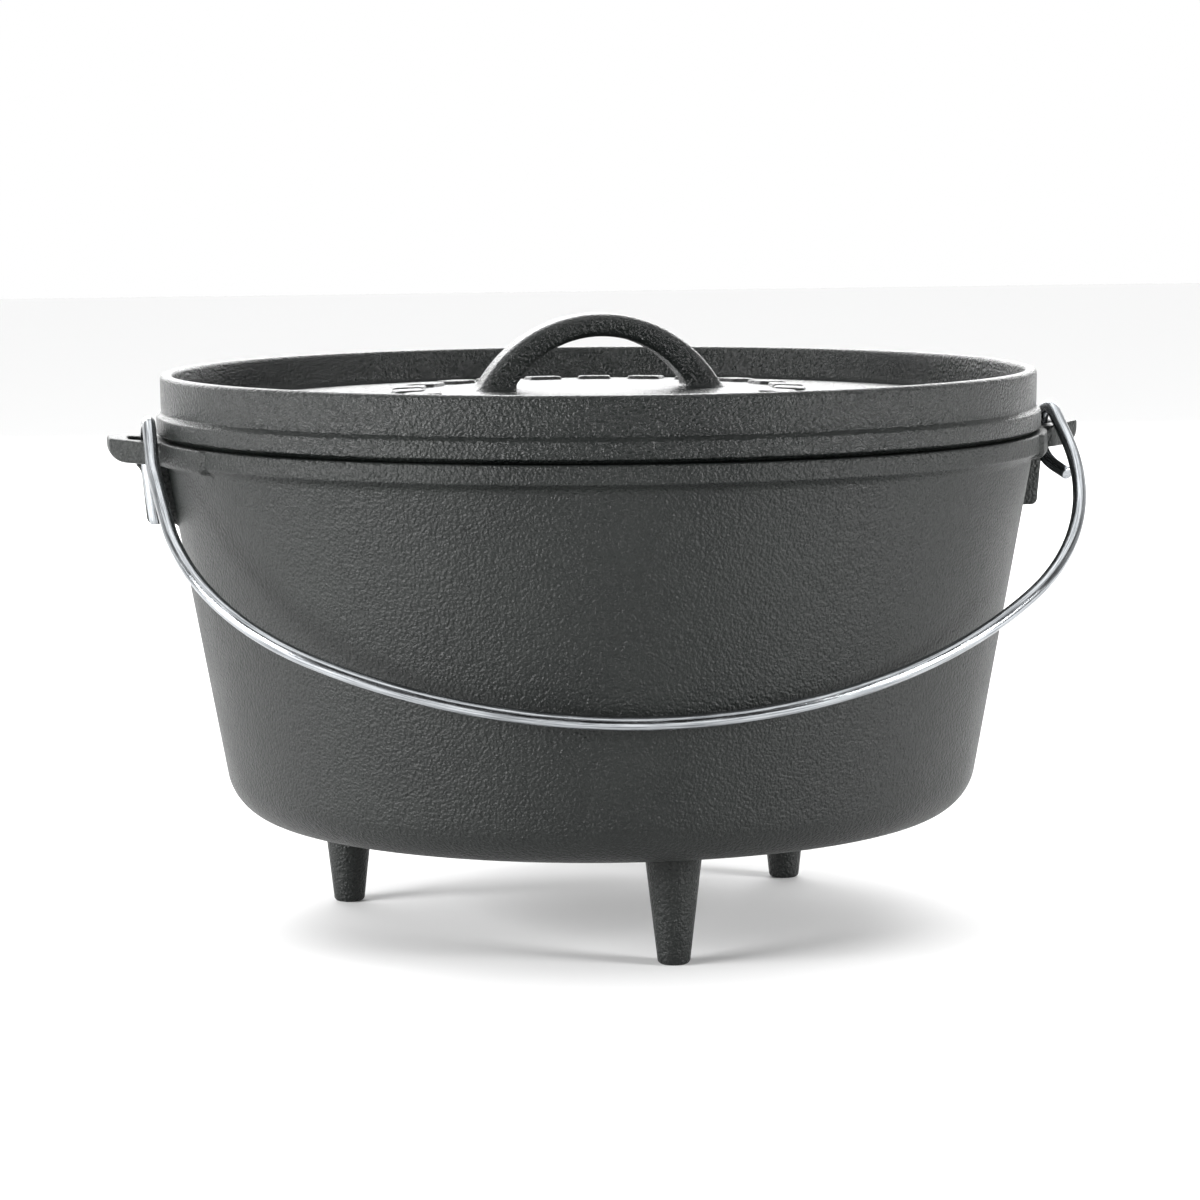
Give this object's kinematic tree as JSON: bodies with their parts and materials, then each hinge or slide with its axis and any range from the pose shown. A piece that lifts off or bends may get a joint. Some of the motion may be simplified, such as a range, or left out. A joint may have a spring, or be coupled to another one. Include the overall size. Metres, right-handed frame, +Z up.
{
  "type": "camp dutch oven",
  "caption": "Cast iron camp dutch oven: round pot on legs, flanged lid that holds coals, loop lid handle and a wire bail hooked into the pot's ears.",
  "frame": {"origin": "on the ground under the pot's axis, level with the tips of the legs", "axes": "+Z up along the pot's axis, X through both ears, -Y towards the side the bail lies on"},
  "size_m": [0.348, 0.3148, 0.2155],
  "materials": {
    "cast_iron": "seasoned, semi-gloss with a fine pebbled skin",
    "bail_wire": "bright drawn wire"
  },
  "bodies": {
    "pot": {"pot": "cast_iron"},
    "lid": {"lid": "cast_iron"},
    "bail": {"bail": "bail_wire"}
  },
  "joints": [
    {"name": "lid_lift", "type": "slide", "parent": "pot", "child": "lid", "axis": [0, 0, 1], "range_m": [0, 0.15]},
    {"name": "bail_swing", "type": "hinge", "parent": "pot", "child": "bail", "pos_m": [0, -0.0166, 0.1701], "axis": [-1, 0, 0], "range_deg": [0, 170]}
  ]
}
